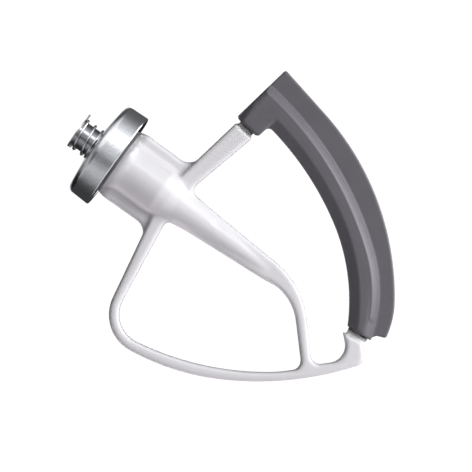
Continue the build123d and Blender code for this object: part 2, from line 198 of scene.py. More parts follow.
TABLE = (
    [(-180, 0.9), (0, 0.9), (180, 0.9)],
    [(-90, 1.0), (-44, 1.0), (-32, 0.0), (90, 0.0)],
)
LOW_WINDOW = (
    [(-180, 0.0), (54, 0.0), (68, 6.5), (112, 6.5), (126, 0.0), (180, 0.0)],
    [(-90, 0.0), (-66, 0.0), (-56, 1.0), (-22, 1.0), (-11, 0.0), (90, 0.0)],
)
REAR_SKY = (
    [(-180, 0.5), (-130, 0.5), (-95, 0.1), (95, 0.1), (130, 0.5), (180, 0.5)],
    [(-90, 0.0), (48, 0.0), (60, 1.0), (90, 0.5)],
)
ROOM = (WALLS, OVERHEAD, REAR_GLOW, TABLE, LOW_WINDOW, REAR_SKY)


def mm_length(name, description, default):
    """A length property, given in millimetres and kept in metres."""
    return bpy.props.FloatProperty(
        name=name, description=description, default=default * MM, unit="LENGTH", precision=5
    )


def tint(name, description, default):
    """A colour property."""
    return bpy.props.FloatVectorProperty(
        name=name, description=description, subtype="COLOR", size=3, min=0, max=1, default=default
    )


def share(name, description, default):
    """A property between nought and one."""
    return bpy.props.FloatProperty(
        name=name, description=description, subtype="FACTOR", min=0, max=1, default=default
    )


def degrees(name, description, default):
    """An angle property, given in degrees."""
    return bpy.props.FloatProperty(
        name=name, description=description, unit="ROTATION", default=math.radians(default)
    )


class CoatingSettings(bpy.types.PropertyGroup):
    """The casting's coating, its smoothing and its painted shade"""

    colour: tint("Coating Colour", "Colour of the baked coating", (0.85, 0.84, 0.865))
    gloss: share("Coating Roughness", "Roughness of the coating where it is clean", 0.36)
    grain: mm_length("Surface Grid", "Spacing of the casting's surface grid", 0.62)
    corner_passes: bpy.props.IntProperty(
        name="Corner Passes", description="How far inward corners fill", default=20, min=0
    )
    corner_limit: mm_length("Corner Limit", "Deepest fill in an inward corner", 0.9)
    even_rounds: bpy.props.IntProperty(
        name="Even Rounds", description="Rounds that take out the grid's ripples", default=12
    )
    neck_passes: bpy.props.IntProperty(
        name="Neck Passes", description="How far the neck below the cap is softened", default=6
    )
    neck_height: mm_length("Neck Height", "Height of the drawn-in neck below the cap", 4.5)
    neck_draft: mm_length("Neck Draft", "How far the neck is drawn in at the cap", 1.2)
    # Painted shade: the coating's colour is darkened beside the scraper, under the cap's rim and
    # in filled corners, where shade falls
    seat_painted_shade: share("Seat Shade", "Darkness of the groove beside the scraper", 0.95)
    rim_painted_shadow: share("Rim Shade", "Darkness of the coating right under the cap", 0.8)
    shade_height: mm_length("Shade Height", "Height of the shade below the cap", 6.5)
    pin_room: mm_length("Pin Room", "Extra room in the seats of the cross pin", 0.08)
    # Painted shade in the filled inward corners
    corner_painted_shade: share("Corner Shade", "Darkness in the filled corners", 0.15)
    wave: mm_length("Coating Wave", "Distance between waves in the coating", 2.2)


class RubberSettings(bpy.types.PropertyGroup):
    """The scraper edge's rubber and its rounding"""

    colour: tint("Rubber Colour", "Colour of the moulded scraper edge", (0.120, 0.114, 0.128))
    gloss: share("Rubber Roughness", "Roughness of the moulded face", 0.42)
    grain: mm_length("Surface Grid", "Spacing of the scraper's surface grid", 0.5)
    soft_passes: bpy.props.IntProperty(
        name="Soft Passes", description="How far the body's ridges are rounded", default=6, min=0
    )
    top_slope: mm_length("Top Slope", "Height of the slope along the body's top edge", 3.4)
    ridge_lift: bpy.props.FloatProperty(
        name="Ridge Lift", description="How much steeper the slope to the blade gets", default=1.2
    )


class SteelSettings(bpy.types.PropertyGroup):
    """Colours and gloss of the steel pieces"""

    cap_colour: tint("Cap Colour", "Colour of the pressed cap", (0.80, 0.81, 0.83))
    cap_gloss: share("Cap Roughness", "Roughness of the polished cap", 0.13)
    bar_colour: tint("Shaft Colour", "Colour of the turned shaft", (0.40, 0.40, 0.42))
    bar_gloss: share("Shaft Roughness", "Roughness of the turned shaft", 0.08)
    wire_colour: tint("Wire Colour", "Colour of the spring wire", (0.76, 0.76, 0.77))
    wire_gloss: share("Wire Roughness", "Roughness of the spring wire", 0.22)
    washer_colour: tint("Washer Colour", "Colour of the oiled washer", (0.58, 0.55, 0.51))
    washer_gloss: share("Washer Roughness", "Roughness of the washer", 0.34)


class SpringSettings(bpy.types.PropertyGroup):
    """The winding of the coil spring"""

    turns: bpy.props.FloatProperty(name="Turns", description="Turns of wire", default=3, min=1)
    flat_turns: bpy.props.FloatProperty(
        name="Flat Turns", description="Share of a turn that lies flat at each end", default=0.45
    )
    wire: mm_length("Wire Thickness", "Thickness of the spring wire", 1.2)
    ease: share("Pitch Easing", "How softly the pitch starts and ends", 0.2)


class StageSettings(bpy.types.PropertyGroup):
    """Where the camera and the floor are"""

    distance: mm_length("Camera Distance", "From the camera to the beater", 1500)
    field: mm_length("Field Width", "Width of the picture at the beater", 217.1)
    aim_x: mm_length("Aim X", "Picture's middle across the beater", 4.0)
    aim_z: mm_length("Aim Z", "Picture's middle along the shaft", -87.3)
    roll: degrees("Roll", "Turn of the beater in the picture", 54.2)
    floor_drop: mm_length("Floor Drop", "Height of the hanging beater over the floor", 280)
    floor_radius: mm_length("Floor Radius", "Reach of the floor", 1900)


# Small helpers for meshes and objects


def new_object(name, mesh):
    """Links a mesh to the scene as an object at the origin."""
    made = bpy.data.objects.new(name, mesh)
    bpy.context.scene.collection.objects.link(made)
    return made


def baked(name, source):
    """Turns an object with its modifiers into a plain mesh object and removes the source."""
    bpy.context.view_layer.update()
    graph = bpy.context.evaluated_depsgraph_get()
    mesh = bpy.data.meshes.new_from_object(source.evaluated_get(graph), depsgraph=graph)
    old = source.data
    bpy.data.objects.remove(source)
    if old.users == 0:
        bpy.data.meshes.remove(old)
    mesh.name = name
    return new_object(name, mesh)


def merged_copy(name, node):
    """A copy of a frame node's mesh with its loose triangles joined."""
    mesh = frame["nodes"][node].data.copy()
    work = bmesh.new()
    work.from_mesh(mesh)
    bmesh.ops.remove_doubles(work, verts=work.verts, dist=WELD_GAP)
    work.to_mesh(mesh)
    work.free()
    if mesh.has_custom_normals:
        mesh.attributes.remove(mesh.attributes["custom_normal"])
    return new_object(name, mesh)


def surface_of(mesh):
    """A search tree over a mesh's faces."""
    corners = [vertex.co for vertex in mesh.vertices]
    return BVHTree.FromPolygons(corners, [tuple(face.vertices) for face in mesh.polygons])


def points_of(mesh):
    """The mesh's vertices as an array."""
    flat = np.empty(len(mesh.vertices) * 3)
    mesh.vertices.foreach_get("co", flat)
    return flat.reshape(-1, 3)


def normals_of(mesh):
    """The mesh's vertex normals as an array."""
    flat = np.empty(len(mesh.vertices) * 3)
    mesh.vertex_normals.foreach_get("vector", flat)
    return flat.reshape(-1, 3)


def move_points(mesh, points):
    """Puts the mesh's vertices at new places."""
    mesh.vertices.foreach_set("co", points.astype(np.float32).ravel())
    mesh.update()


def neighbour_means(points, ends):
    """The mean of each vertex's neighbours along the edges."""
    count = np.bincount(ends.ravel(), minlength=len(points))
    total = np.empty_like(points)
    for axis in range(3):
        from_b = np.bincount(ends[:, 0], points[ends[:, 1], axis], len(points))
        from_a = np.bincount(ends[:, 1], points[ends[:, 0], axis], len(points))
        total[:, axis] = from_a + from_b
    return total / np.maximum(count, 1)[:, None]


def smooth_step(value, low, high):
    """Nought below low, one above high, and a soft rise between them."""
    ramp = np.clip((value - low) / (high - low), 0, 1)
    return ramp * ramp * (3 - 2 * ramp)


def edge_ends(mesh):
    """The two vertices of each edge as an array."""
    flat = np.empty(len(mesh.edges) * 2, int)
    mesh.edges.foreach_get("vertices", flat)
    return flat.reshape(-1, 2)


# Small helpers for node trees


def add_node(tree, kind, values=None, **settings):
    """Adds a node, sets its options, and gives its inputs values or links."""
    node = tree.nodes.new(kind)
    for key, value in settings.items():
        setattr(node, key, value)
    for key, value in (values or {}).items():
        if isinstance(value, bpy.types.NodeSocket):
            tree.links.new(value, node.inputs[key])
        else:
            node.inputs[key].default_value = value
    return node


def calculate(tree, operation, *values):
    """A Math node's result."""
    return add_node(
        tree, "ShaderNodeMath", dict(enumerate(values)), operation=operation
    ).outputs[0]


def new_group(name, kind, inputs, outputs):
    """A node group with named sockets, and its inner input and output nodes."""
    tree = bpy.data.node_groups.new(name, kind)
    for label, socket, default in inputs:
        made = tree.interface.new_socket(label, in_out="INPUT", socket_type=socket)
        if default is not None:
            made.default_value = default
    for label, socket in outputs:
        tree.interface.new_socket(label, in_out="OUTPUT", socket_type=socket)
    return tree, tree.nodes.new("NodeGroupInput"), tree.nodes.new("NodeGroupOutput")


def placed_group(tree, group, values):
    """Places a shader group in a tree with its own values."""
    return add_node(tree, "ShaderNodeGroup", values, node_tree=group)


def shared_group(name, build):
    """The group of that name, built at its first use."""
    return bpy.data.node_groups.get(name) or build(name)


def build_skin_wave(name):
    """Slow waves with a finer grain on top, as paint and moulded rubber have."""
    tree, inner, outer = new_group(
        name,
        "ShaderNodeTree",
        [
            ("Vector", "NodeSocketVector", None),
            ("Waves per Metre", "NodeSocketFloat", 450.0),
            ("Grain", "NodeSocketFloat", 0.2),
        ],
        [("Height", "NodeSocketFloat")],
    )
    vector, waves, grain = inner.outputs[:3]
    slow = add_node(
        tree, "ShaderNodeTexNoise", {"Vector": vector, "Scale": waves, "Detail": 1.0}
    ).outputs["Fac"]
    fine_scale = calculate(tree, "MULTIPLY", waves, 7.0)
    fine = add_node(
        tree, "ShaderNodeTexNoise", {"Vector": vector, "Scale": fine_scale, "Detail": 2.0}
    ).outputs["Fac"]
    height = calculate(tree, "MULTIPLY_ADD", fine, grain, slow)
    tree.links.new(height, outer.inputs["Height"])
    return tree


def build_touch_marks(name):
    """Cloudy marks of handling, between a low and a high value."""
    tree, inner, outer = new_group(
        name,
        "ShaderNodeTree",
        [
            ("Vector", "NodeSocketVector", None),
            ("Marks per Metre", "NodeSocketFloat", 60.0),
            ("Low", "NodeSocketFloat", 0.2),
            ("High", "NodeSocketFloat", 0.3),
        ],
        [("Value", "NodeSocketFloat"), ("Mask", "NodeSocketFloat")],
    )
    vector, marks, low, high = inner.outputs[:4]
    cloud = add_node(
        tree,
        "ShaderNodeTexNoise",
        {"Vector": vector, "Scale": marks, "Detail": 4.0, "Distortion": 0.6},
    ).outputs["Fac"]
    mask = add_node(
        tree,
        "ShaderNodeMapRange",
        {"Value": cloud, "From Min": 0.35, "From Max": 0.7},
    ).outputs["Result"]
    value = add_node(
        tree, "ShaderNodeMapRange", {"Value": mask, "To Min": low, "To Max": high}
    ).outputs["Result"]
    tree.links.new(value, outer.inputs["Value"])
    tree.links.new(mask, outer.inputs["Mask"])
    return tree


def build_turned_lines(name):
    """Fine rings about the shaft axis, as turning, spinning and polishing leave."""
    tree, inner, outer = new_group(
        name,
        "ShaderNodeTree",
        [
            ("Vector", "NodeSocketVector", None),
            ("Lines per Metre", "NodeSocketFloat", 4000.0),
            ("Breaks", "NodeSocketFloat", 3.0),
        ],
        [("Height", "NodeSocketFloat")],
    )
    vector, lines, breaks = inner.outputs[:3]
    parts = add_node(tree, "ShaderNodeSeparateXYZ", {"Vector": vector})
    x, y, z = parts.outputs
    across = calculate(
        tree, "SQRT", calculate(tree, "MULTIPLY_ADD", x, x, calculate(tree, "MULTIPLY", y, y))
    )
    turn = calculate(tree, "MULTIPLY", calculate(tree, "ARCTAN2", y, x), breaks)
    ring = add_node(
        tree,
        "ShaderNodeCombineXYZ",
        {
            "X": calculate(tree, "MULTIPLY", across, lines),
            "Y": turn,
            "Z": calculate(tree, "MULTIPLY", z, lines),
        },
    )
    height = add_node(
        tree, "ShaderNodeTexNoise", {"Vector": ring.outputs[0], "Scale": 1.0, "Detail": 2.0}
    ).outputs["Fac"]
    tree.links.new(height, outer.inputs["Height"])
    return tree


def skin_wave(tree, place, waves, grain):
    """The height of a skin's waves, so many to a metre."""
    return placed_group(
        tree,
        shared_group("Skin Wave", build_skin_wave),
        {"Vector": place, "Waves per Metre": waves, "Grain": grain},
    ).outputs["Height"]


def handled(tree, shader, place, gloss, marks):
    """Makes a surface rougher where hands have marked it, and gives the marks' mask."""
    per_metre, rougher = marks
    placed = placed_group(
        tree,
        shared_group("Touch Marks", build_touch_marks),
        {"Vector": place, "Marks per Metre": per_metre, "Low": gloss, "High": gloss + rougher},
    )
    tree.links.new(placed.outputs["Value"], shader.inputs["Roughness"])
    return placed.outputs["Mask"]


def new_material(name, **sockets):
    """A material, its tree and shader, with constants on the shader's own sockets."""
    material = bpy.data.materials.new(name)
    material.use_nodes = True
    tree = material.node_tree
    shader = next(node for node in tree.nodes if node.type == "BSDF_PRINCIPLED")
    for key, value in sockets.items():
        shader.inputs[key.replace("_", " ")].default_value = value
    place = add_node(tree, "ShaderNodeTexCoord").outputs["Object"]
    return material, tree, shader, place


def bump(tree, shader, *layers):
    """Feeds heights, each with its depth in metres, into the shader's normal."""
    normal = None
    for height, depth in layers:
        node = add_node(tree, "ShaderNodeBump", {"Height": height, "Distance": depth})
        if normal:
            tree.links.new(normal, node.inputs["Normal"])
        normal = node.outputs["Normal"]
    tree.links.new(normal, shader.inputs["Normal"])


def mix_colour_node(tree, mask, first, second):
    """A colour mix by a mask."""
    node = tree.nodes.new("ShaderNodeMix")
    node.data_type = "RGBA"
    tree.links.new(mask, node.inputs[0])
    for socket, colour in ((node.inputs[6], first), (node.inputs[7], second)):
        if isinstance(colour, bpy.types.NodeSocket):
            tree.links.new(colour, socket)
        else:
            socket.default_value = (*colour, 1)
    return node.outputs[2]


def scaled(colour, factor):
    """A colour made darker or lighter by a factor."""
    return tuple(channel * factor for channel in colour)


def white_coating(look):
    """Gloss coating baked over the casting: soft waves, faint clouds, clean edges, and painted
    shade beside the scraper, under the cap and in its corners.
    """
    material, tree, shader, place = new_material(
        "white_coating", Specular_IOR_Level=0.4, Coat_Weight=0.6, Coat_Roughness=0.14
    )
    marks = handled(tree, shader, place, look.gloss, COATING_MARKS)
    colour = mix_colour_node(tree, marks, look.colour, scaled(look.colour, 0.97))
    # Painted shade: the coating's colour goes towards near-black where the shade attribute is
    # high
    painted_shade_mask = add_node(tree, "ShaderNodeAttribute", attribute_name="shade").outputs["Fac"]
    colour = mix_colour_node(tree, painted_shade_mask, colour, PAINTED_SHADE_GREY)
    tree.links.new(colour, shader.inputs["Base Color"])
    bump(tree, shader, (skin_wave(tree, place, 1 / look.wave, grain=0.06), SKIN_DEPTH))
    return material


def grey_rubber(look):
    """Matte moulded rubber with a fine eroded grain and a faint bloom."""
    material, tree, shader, place = new_material(
        "grey_silicone", Specular_IOR_Level=0.4, Sheen_Weight=0.08, Sheen_Roughness=0.5
    )
    marks = handled(tree, shader, place, look.gloss, RUBBER_MARKS)
    colour = mix_colour_node(tree, marks, look.colour, scaled(look.colour, 1.07))
    tree.links.new(colour, shader.inputs["Base Color"])
    bump(tree, shader, (skin_wave(tree, place, FINE_SKIN_WAVES, grain=0.9), SKIN_DEPTH))
    return material


def hollow_mask(tree, place, hollow):
    """One inside a radius about the shaft and below a height, as in the cap: where painted shade
    darkens the steel.
    """
    radius, top = hollow
    x, y, z = add_node(tree, "ShaderNodeSeparateXYZ", {"Vector": place}).outputs
    flat = add_node(tree, "ShaderNodeCombineXYZ", {"X": x, "Y": y})
    across = add_node(
        tree, "ShaderNodeVectorMath", {0: flat.outputs["Vector"]}, operation="LENGTH"
    ).outputs["Value"]
    within = calculate(tree, "LESS_THAN", across, radius)
    return calculate(tree, "MULTIPLY", within, calculate(tree, "LESS_THAN", z, top))


def ringed_steel(name, colour, gloss, rings, breaks=3.0, mottle=0.0, hollow=None):
    """Bare steel with fine rings about the shaft axis, a mottled skin and handling marks, and
    painted shade inside a hollow if one is given.
    """
    material, tree, shader, place = new_material(name, Metallic=1.0)
    marks = handled(tree, shader, place, gloss, STEEL_MARKS)
    tone = mix_colour_node(tree, marks, colour, scaled(colour, 0.93))
    # Painted shade: the steel inside the hollow is darkened to a quarter of its colour
    if hollow:
        painted_hollow_shade = hollow_mask(tree, place, hollow)
        tone = mix_colour_node(tree, painted_hollow_shade, tone, scaled(colour, 0.25))
    tree.links.new(tone, shader.inputs["Base Color"])
    lines, depth = rings
    turned = placed_group(
        tree,
        shared_group("Turned Lines", build_turned_lines),
        {"Vector": place, "Lines per Metre": lines, "Breaks": breaks},
    )
    layers = [(turned.outputs["Height"], depth)]
    if mottle:
        layers.append((skin_wave(tree, place, FINE_SKIN_WAVES, grain=0.5), mottle))
    bump(tree, shader, *layers)
    return material


def give_material(piece, material):
    """Puts one material on a piece in place of what it had."""
    piece.data.materials.clear()
    piece.data.materials.append(material)


# The casting


def grid_skin(name, node, spacing):
    """A node's surface laid over an even grid, ready to be smoothed."""
    source = merged_copy(name + "_source", node)
    body = new_object(name + "_grid", source.data.copy())
    remesh = body.modifiers.new("grid", "REMESH")
    remesh.mode = "VOXEL"
    remesh.voxel_size = spacing
    wrap = body.modifiers.new("wrap", "SHRINKWRAP")
    wrap.wrap_method = "NEAREST_SURFACEPOINT"
    wrap.target = source
    body = baked(name, body)
    source_mesh = source.data
    bpy.data.objects.remove(source)
    bpy.data.meshes.remove(source_mesh)
    body.data.polygons.foreach_set("use_smooth", [True] * len(body.data.polygons))
    return body


def relax(points, ends, weight, passes, step=0.5):
    """Moves points part of the way to the mean of their neighbours, several times."""
    for _ in range(passes):
        points += step * (neighbour_means(points, ends) - points) * weight[:, None]


def even_out(points, ends, weight, rounds):
    """Takes the grid's ripples out of a surface without shrinking it."""
    for _ in range(rounds):
        relax(points, ends, weight, 1, EVEN_FORTH)
        relax(points, ends, weight, 1, EVEN_BACK)


def keep_inside(points, box):
    """Holds the points inside a box given by its two corners."""
    np.clip(points, box[0], box[1], out=points)


def gap_to_pin(points):
    """How far the points stay from the pin over its whole travel."""
    pin = surface_of(frame["nodes"]["drive_pin"].data)
    lifts = [Vector((0, 0, height)) for height in PUSH_JOINT["range_m"]]
    return np.array(
        [min(pin.find_nearest(Vector(point) + lift)[3] for lift in lifts) for point in points]
    )


def fill_corners(mesh, ends, free, look):
    """Fills the inward corners outwards where they are free to, and says how far."""
    start = points_of(mesh)
    points = start.copy()
    normals = normals_of(mesh)
    for step in range(look.corner_passes):
        outward = np.einsum("ij,ij->i", neighbour_means(points, ends) - points, normals)
        points += (FILL_STEP * np.maximum(outward, 0) * free)[:, None] * normals
        shift = points - start
        length = np.linalg.norm(shift, axis=1)
        over = np.maximum(length / look.corner_limit, 1)
        points = start + shift / over[:, None]
        if step % NORMALS_EVERY == NORMALS_EVERY - 1:
            move_points(mesh, points)
            normals = normals_of(mesh)
    return points, length


def draw_in_neck(points, start, normals, clear, look):
    """Draws in the neck's outside under the cap, and says how near the rim each point is."""
    rise = np.clip((start[:, 2] - CAP_RIM) / look.neck_height + 1, 0, 1)
    across = points[:, :2] / np.linalg.norm(points[:, :2], axis=1)[:, None]
    facing = np.einsum("ij,ij->i", normals[:, :2], across)
    below = start[:, 2] < CAP_RIM + NECK_PAST_RIM
    on_neck = clear * smooth_step(facing, *NECK_FACING) * below
    points[:, :2] -= across * (look.neck_draft * rise**2 * on_neck)[:, None]
    return rise


def painted_shade_of(height, gap, filled, look):
    """The painted shade on the coating: how dark it is painted beside the scraper, under the cap
    and in filled corners.
    """
    seat = look.seat_painted_shade * (1 - smooth_step(gap, *GROOVE_DARK))
    seat = np.maximum(seat, GROOVE_DIM_PAINTED_SHADE * (1 - smooth_step(gap, *GROOVE_DIM)))
    drop = look.rim_painted_shadow * smooth_step(height, CAP_RIM - look.shade_height, CAP_RIM)
    corner = look.corner_painted_shade * np.minimum(filled / look.corner_limit, 1)
    return np.maximum(np.maximum(seat, drop), corner)


def smooth_casting(mesh, look, scraper):
    """Rounds the casting off as its coating does, clear of the bayonet and the scraper."""
    ends = edge_ends(mesh)
    start = points_of(mesh)
    height = start[:, 2]
    gap = np.array([scraper.find_nearest(point)[3] for point in start])
    pin_gap = gap_to_pin(start)
    clear = smooth_step(pin_gap, *PIN_FADE)
    low, high = FILL_BELOW_RIM
    below_cap = 1 - smooth_step(height, CAP_RIM - low, CAP_RIM - high)
    free = below_cap * clear * smooth_step(gap, *SCRAPER_FADE)
    points, filled = fill_corners(mesh, ends, free, look)
    normals = normals_of(mesh)
    outside = 1 - smooth_step(height, CAP_RIM - RIM_FADE, CAP_RIM + RIM_FADE)
    outside *= clear
    even_out(points, ends, outside, look.even_rounds)
    rise = draw_in_neck(points, start, normals, clear, look)
    relax(points, ends, outside * smooth_step(rise, *NECK_SOFTENING), look.neck_passes)
    room_for_pin = look.pin_room * (1 - smooth_step(pin_gap, *PIN_ROOM_FADE))
    points -= room_for_pin[:, None] * normals
    keep_inside(points, CASTING_BOX)
    move_points(mesh, points)
    # Painted shade for the coating's colour, kept as a point attribute
    shade = mesh.attributes.new("shade", "FLOAT", "POINT")
    shade.data.foreach_set("value", painted_shade_of(height, gap, filled, look))


def close_gap(mesh, scraper):
    """Brings the faces that touched the scraper back to it after the smoothing."""
    points, normals = points_of(mesh), normals_of(mesh)
    for index, point in enumerate(points):
        nearest, _, _, gap = scraper.find_nearest(point, SEAT_REACH)
        if nearest is None or gap < SEAT_GAP:
            continue
        way = (np.array(nearest) - point) / gap
        if way @ normals[index] > SEAT_FACING:
            points[index] = point + way * (gap - SEAT_GAP)
    move_points(mesh, points)


class BEATER_OT_casting(bpy.types.Operator):
    """Coats the casting and fills its inward corners"""

    bl_idname = "beater.casting"
    bl_label = "Coat Casting"

    def execute(self, context):
        look = context.scene.beater_coating
        piece = grid_skin("coated_casting", "beater_casting", look.grain)
        scraper = surface_of(frame["nodes"]["flex_edge"].data)
        smooth_casting(piece.data, look, scraper)
        close_gap(piece.data, scraper)
        give_material(piece, white_coating(look))
        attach(piece, "beater")
        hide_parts("beater_casting")
        return {"FINISHED"}


# The scraper edge


def slope_top_edge(points, look):
    """Slopes the body's top edge, less and less towards its outer end."""
    along = (points[:, 0] - BODY_TOP_START[0]) / (BODY_TOP_END[0] - BODY_TOP_START[0])
    top = BODY_TOP_START[1] + along * (BODY_TOP_END[1] - BODY_TOP_START[1])
    reach = look.top_slope * np.clip(1 - TOP_SLOPE_TAPER * along, 0, 1)
    inward = np.clip(reach - (top - points[:, 2]), 0, None) * TOP_SLOPE_PITCH
    depth = np.abs(points[:, 1])
    level = np.maximum(BODY_HALF - inward, BODY_HALF / 2)
    sloped = np.minimum(depth, level) * np.sign(points[:, 1])
    on_edge = (along > TOP_SLOPE_LEAD) & (along < 1) & (depth > BODY_HALF / 2)
    points[:, 1] = np.where(on_edge, sloped, points[:, 1])


def lift_ridges(points, normals, look):
    """Makes the slopes from the body down to the blade steeper."""
    depth = np.abs(points[:, 1])
    steeper = BLADE_HALF + (depth - BLADE_HALF) * look.ridge_lift
    lifted = np.minimum(steeper, BODY_HALF) * np.sign(points[:, 1])
    on_slope = (normals[:, 0] > RIDGE_FACING) & (depth > BLADE_HALF) & (depth < BODY_HALF)
    points[:, 1] = np.where(on_slope, lifted, points[:, 1])


def soften_scraper(mesh, look):
    """Rounds the ridges of the scraper's body; the thin blade stays crisp."""
    points = points_of(mesh)
    ends = edge_ends(mesh)
    slope_top_edge(points, look)
    lift_ridges(points, normals_of(mesh), look)
    body = smooth_step(np.abs(points[:, 1]), *BODY_FADE)
    relax(points, ends, body, look.soft_passes)
    even_out(points, ends, 1 - body, BLADE_EVEN_ROUNDS)
    keep_inside(points, SCRAPER_BOX)
    move_points(mesh, points)


class BEATER_OT_scraper(bpy.types.Operator):
    """Rounds the moulded edges of the scraper and gives it its rubber"""

    bl_idname = "beater.scraper"
    bl_label = "Mould Scraper"

    def execute(self, context):
        look = context.scene.beater_rubber
        piece = grid_skin("moulded_scraper", "flex_edge", look.grain)
        soften_scraper(piece.data, look)
        give_material(piece, grey_rubber(look))
        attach(piece, "beater")
        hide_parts("flex_edge")
        return {"FINISHED"}


# Cap, shaft, pin and washer


class BEATER_OT_steel(bpy.types.Operator):
    """Gives the cap, the shaft, its pin and the washer their steel"""

    bl_idname = "beater.steel"
    bl_label = "Polish Steel"

    def execute(self, context):
        look = context.scene.beater_steel
        nodes = frame["nodes"]
        # The cap's steel is darkened inside its hollow as painted shade
        give_material(
            nodes["hub_cap"],
            ringed_steel(
                "polished_steel",
                look.cap_colour,
                look.cap_gloss,
                CAP_RINGS,
                mottle=CAP_MOTTLE_DEPTH,
                hollow=CAP_HOLLOW,
            ),
        )
        turned = ringed_steel("turned_steel", look.bar_colour, look.bar_gloss, TURNED_RINGS)
        for name in ("drive_shaft", "drive_pin"):
            give_material(nodes[name], turned)
        give_material(
            nodes["thrust_washer"],
            ringed_steel("oiled_steel", look.washer_colour, look.washer_gloss, TURNED_RINGS),
        )
        return {"FINISHED"}


# The spring


def coil_tree():
    """Geometry nodes for a spring whose end turns lie flat."""
    tree, inner, outer = new_group(
        "Coil Spring",
        "GeometryNodeTree",
        [
            ("Geometry", "NodeSocketGeometry", None),
            ("Turns", "NodeSocketFloat", 3.0),
            ("Flat Turns", "NodeSocketFloat", 0.45),
            ("Coil Radius", "NodeSocketFloat", 0.007),
            ("Wire Radius", "NodeSocketFloat", 0.0006),
            ("Top", "NodeSocketFloat", 0.0),
            ("Bottom", "NodeSocketFloat", -0.01),
            ("Easing", "NodeSocketFloat", 0.2),
            ("Material", "NodeSocketMaterial", None),
        ],
        [("Geometry", "NodeSocketGeometry")],
    )
    value = inner.outputs
    spiral = add_node(
        tree,
        "GeometryNodeCurveSpiral",
        {
            "Resolution": STEPS_PER_TURN,
            "Rotations": value["Turns"],
            "Start Radius": value["Coil Radius"],
            "End Radius": value["Coil Radius"],
            "Height": 0.0,
        },
    )
    factor = add_node(tree, "GeometryNodeSplineParameter").outputs["Factor"]
    flat = calculate(tree, "DIVIDE", value["Flat Turns"], value["Turns"])
    last_rise = calculate(tree, "SUBTRACT", 1.0, flat)
    rise = {"Value": factor, "From Min": flat, "From Max": last_rise}
    even = add_node(tree, "ShaderNodeMapRange", rise).outputs["Result"]
    soft = add_node(
        tree, "ShaderNodeMapRange", rise, interpolation_type="SMOOTHSTEP"
    ).outputs["Result"]
    eased = calculate(
        tree, "MULTIPLY_ADD", calculate(tree, "SUBTRACT", soft, even), value["Easing"], even
    )
    height = add_node(
        tree,
        "ShaderNodeMapRange",
        {"Value": eased, "To Min": value["Top"], "To Max": value["Bottom"]},
    ).outputs["Result"]
    lift = add_node(tree, "ShaderNodeCombineXYZ", {"Z": height})
    raised = add_node(
        tree,
        "GeometryNodeSetPosition",
        {"Geometry": spiral.outputs["Curve"], "Offset": lift.outputs["Vector"]},
    )
    turned = add_node(
        tree,
        "GeometryNodeTransform",
        {"Geometry": raised.outputs["Geometry"], "Rotation": (0.0, 0.0, math.pi)},
    )
    ring = add_node(
        tree,
        "GeometryNodeCurvePrimitiveCircle",
        {"Resolution": WIRE_SIDES, "Radius": value["Wire Radius"]},
    )
    tube = add_node(
        tree,
        "GeometryNodeCurveToMesh",
        {
            "Curve": turned.outputs["Geometry"],
            "Profile Curve": ring.outputs["Curve"],
            "Fill Caps": True,
        },
    )
    smooth = add_node(tree, "GeometryNodeSetShadeSmooth", {"Geometry": tube.outputs["Mesh"]})
    real = add_node(
        tree, "GeometryNodeRealizeInstances", {"Geometry": smooth.outputs["Geometry"]}
    )
    finish = add_node(
        tree,
        "GeometryNodeSetMaterial",
        {"Geometry": real.outputs["Geometry"], "Material": value["Material"]},
    )
    tree.links.new(finish.outputs["Geometry"], outer.inputs["Geometry"])
    return tree


def set_inputs(modifier, values):
    """Sets a geometry nodes modifier's inputs by their names."""
    for item in modifier.node_group.interface.items_tree:
        if item.item_type == "SOCKET" and item.in_out == "INPUT" and item.name in values:
            modifier[item.identifier] = values[item.name]


class BEATER_OT_spring(bpy.types.Operator):
    """Winds the coil spring between the washer and the cap"""

    bl_idname = "beater.spring"
    bl_label = "Wind Spring"

    def execute(self, context):
        coil = context.scene.beater_spring
        look = context.scene.beater_steel
        low, high = SPRING_BOX
        wire_radius = coil.wire / 2
        wire = ringed_steel(
            "spring_steel", look.wire_colour, look.wire_gloss, WIRE_RINGS, breaks=8.0
        )
        host = new_object("spring_blank", bpy.data.meshes.new("spring_blank"))
        modifier = host.modifiers.new("coil", "NODES")
        modifier.node_group = coil_tree()
        set_inputs(
            modifier,
            {
                "Turns": coil.turns,
                "Flat Turns": coil.flat_turns,
                "Coil Radius": (high.y - low.y) / 2 - wire_radius,
                "Wire Radius": wire_radius,
                "Top": high.z - wire_radius,
                "Bottom": low.z + wire_radius,
                "Easing": coil.ease,
                "Material": wire,
            },
        )
        piece = baked("coil_spring", host)
        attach(piece, "shaft")
        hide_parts("shaft_spring")
        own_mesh(piece)
        return {"FINISHED"}


# The stage


def direction(azimuth, elevation):
    """A direction from the beater: azimuth 0 is towards the camera, 90 towards the scraper."""
    a, e = math.radians(azimuth), math.radians(elevation)
    return Vector((math.sin(a) * math.cos(e), -math.cos(a) * math.cos(e), math.sin(e)))


def soft_panel(name, aim, azimuth, elevation, radiance, colour):
    """A large square soft light that faces the beater and shows in no reflection."""
    data = bpy.data.lights.new(name, "AREA")
    data.shape = "SQUARE"
    data.size = PANEL_SIZE
    data.energy = radiance * math.pi * PANEL_SIZE * PANEL_SIZE
    data.color = colour
    panel = bpy.data.objects.new(name, data)
    bpy.context.scene.collection.objects.link(panel)
    away = direction(azimuth, elevation)
    panel.location = aim + away * PANEL_DISTANCE
    panel.rotation_euler = (-away).to_track_quat("-Z", "Y").to_euler()
    panel.visible_camera = False
    panel.visible_glossy = False


def fill_ramp(ramp, stops, low, high):
    """Gives a colour ramp grey stops at places between low and high."""
    for place, _ in stops[1:-1]:
        ramp.elements.new((place - low) / (high - low))
    for element, (place, grey) in zip(ramp.elements, stops):
        element.position = (place - low) / (high - low)
        element.color = (grey, grey, grey, 1)


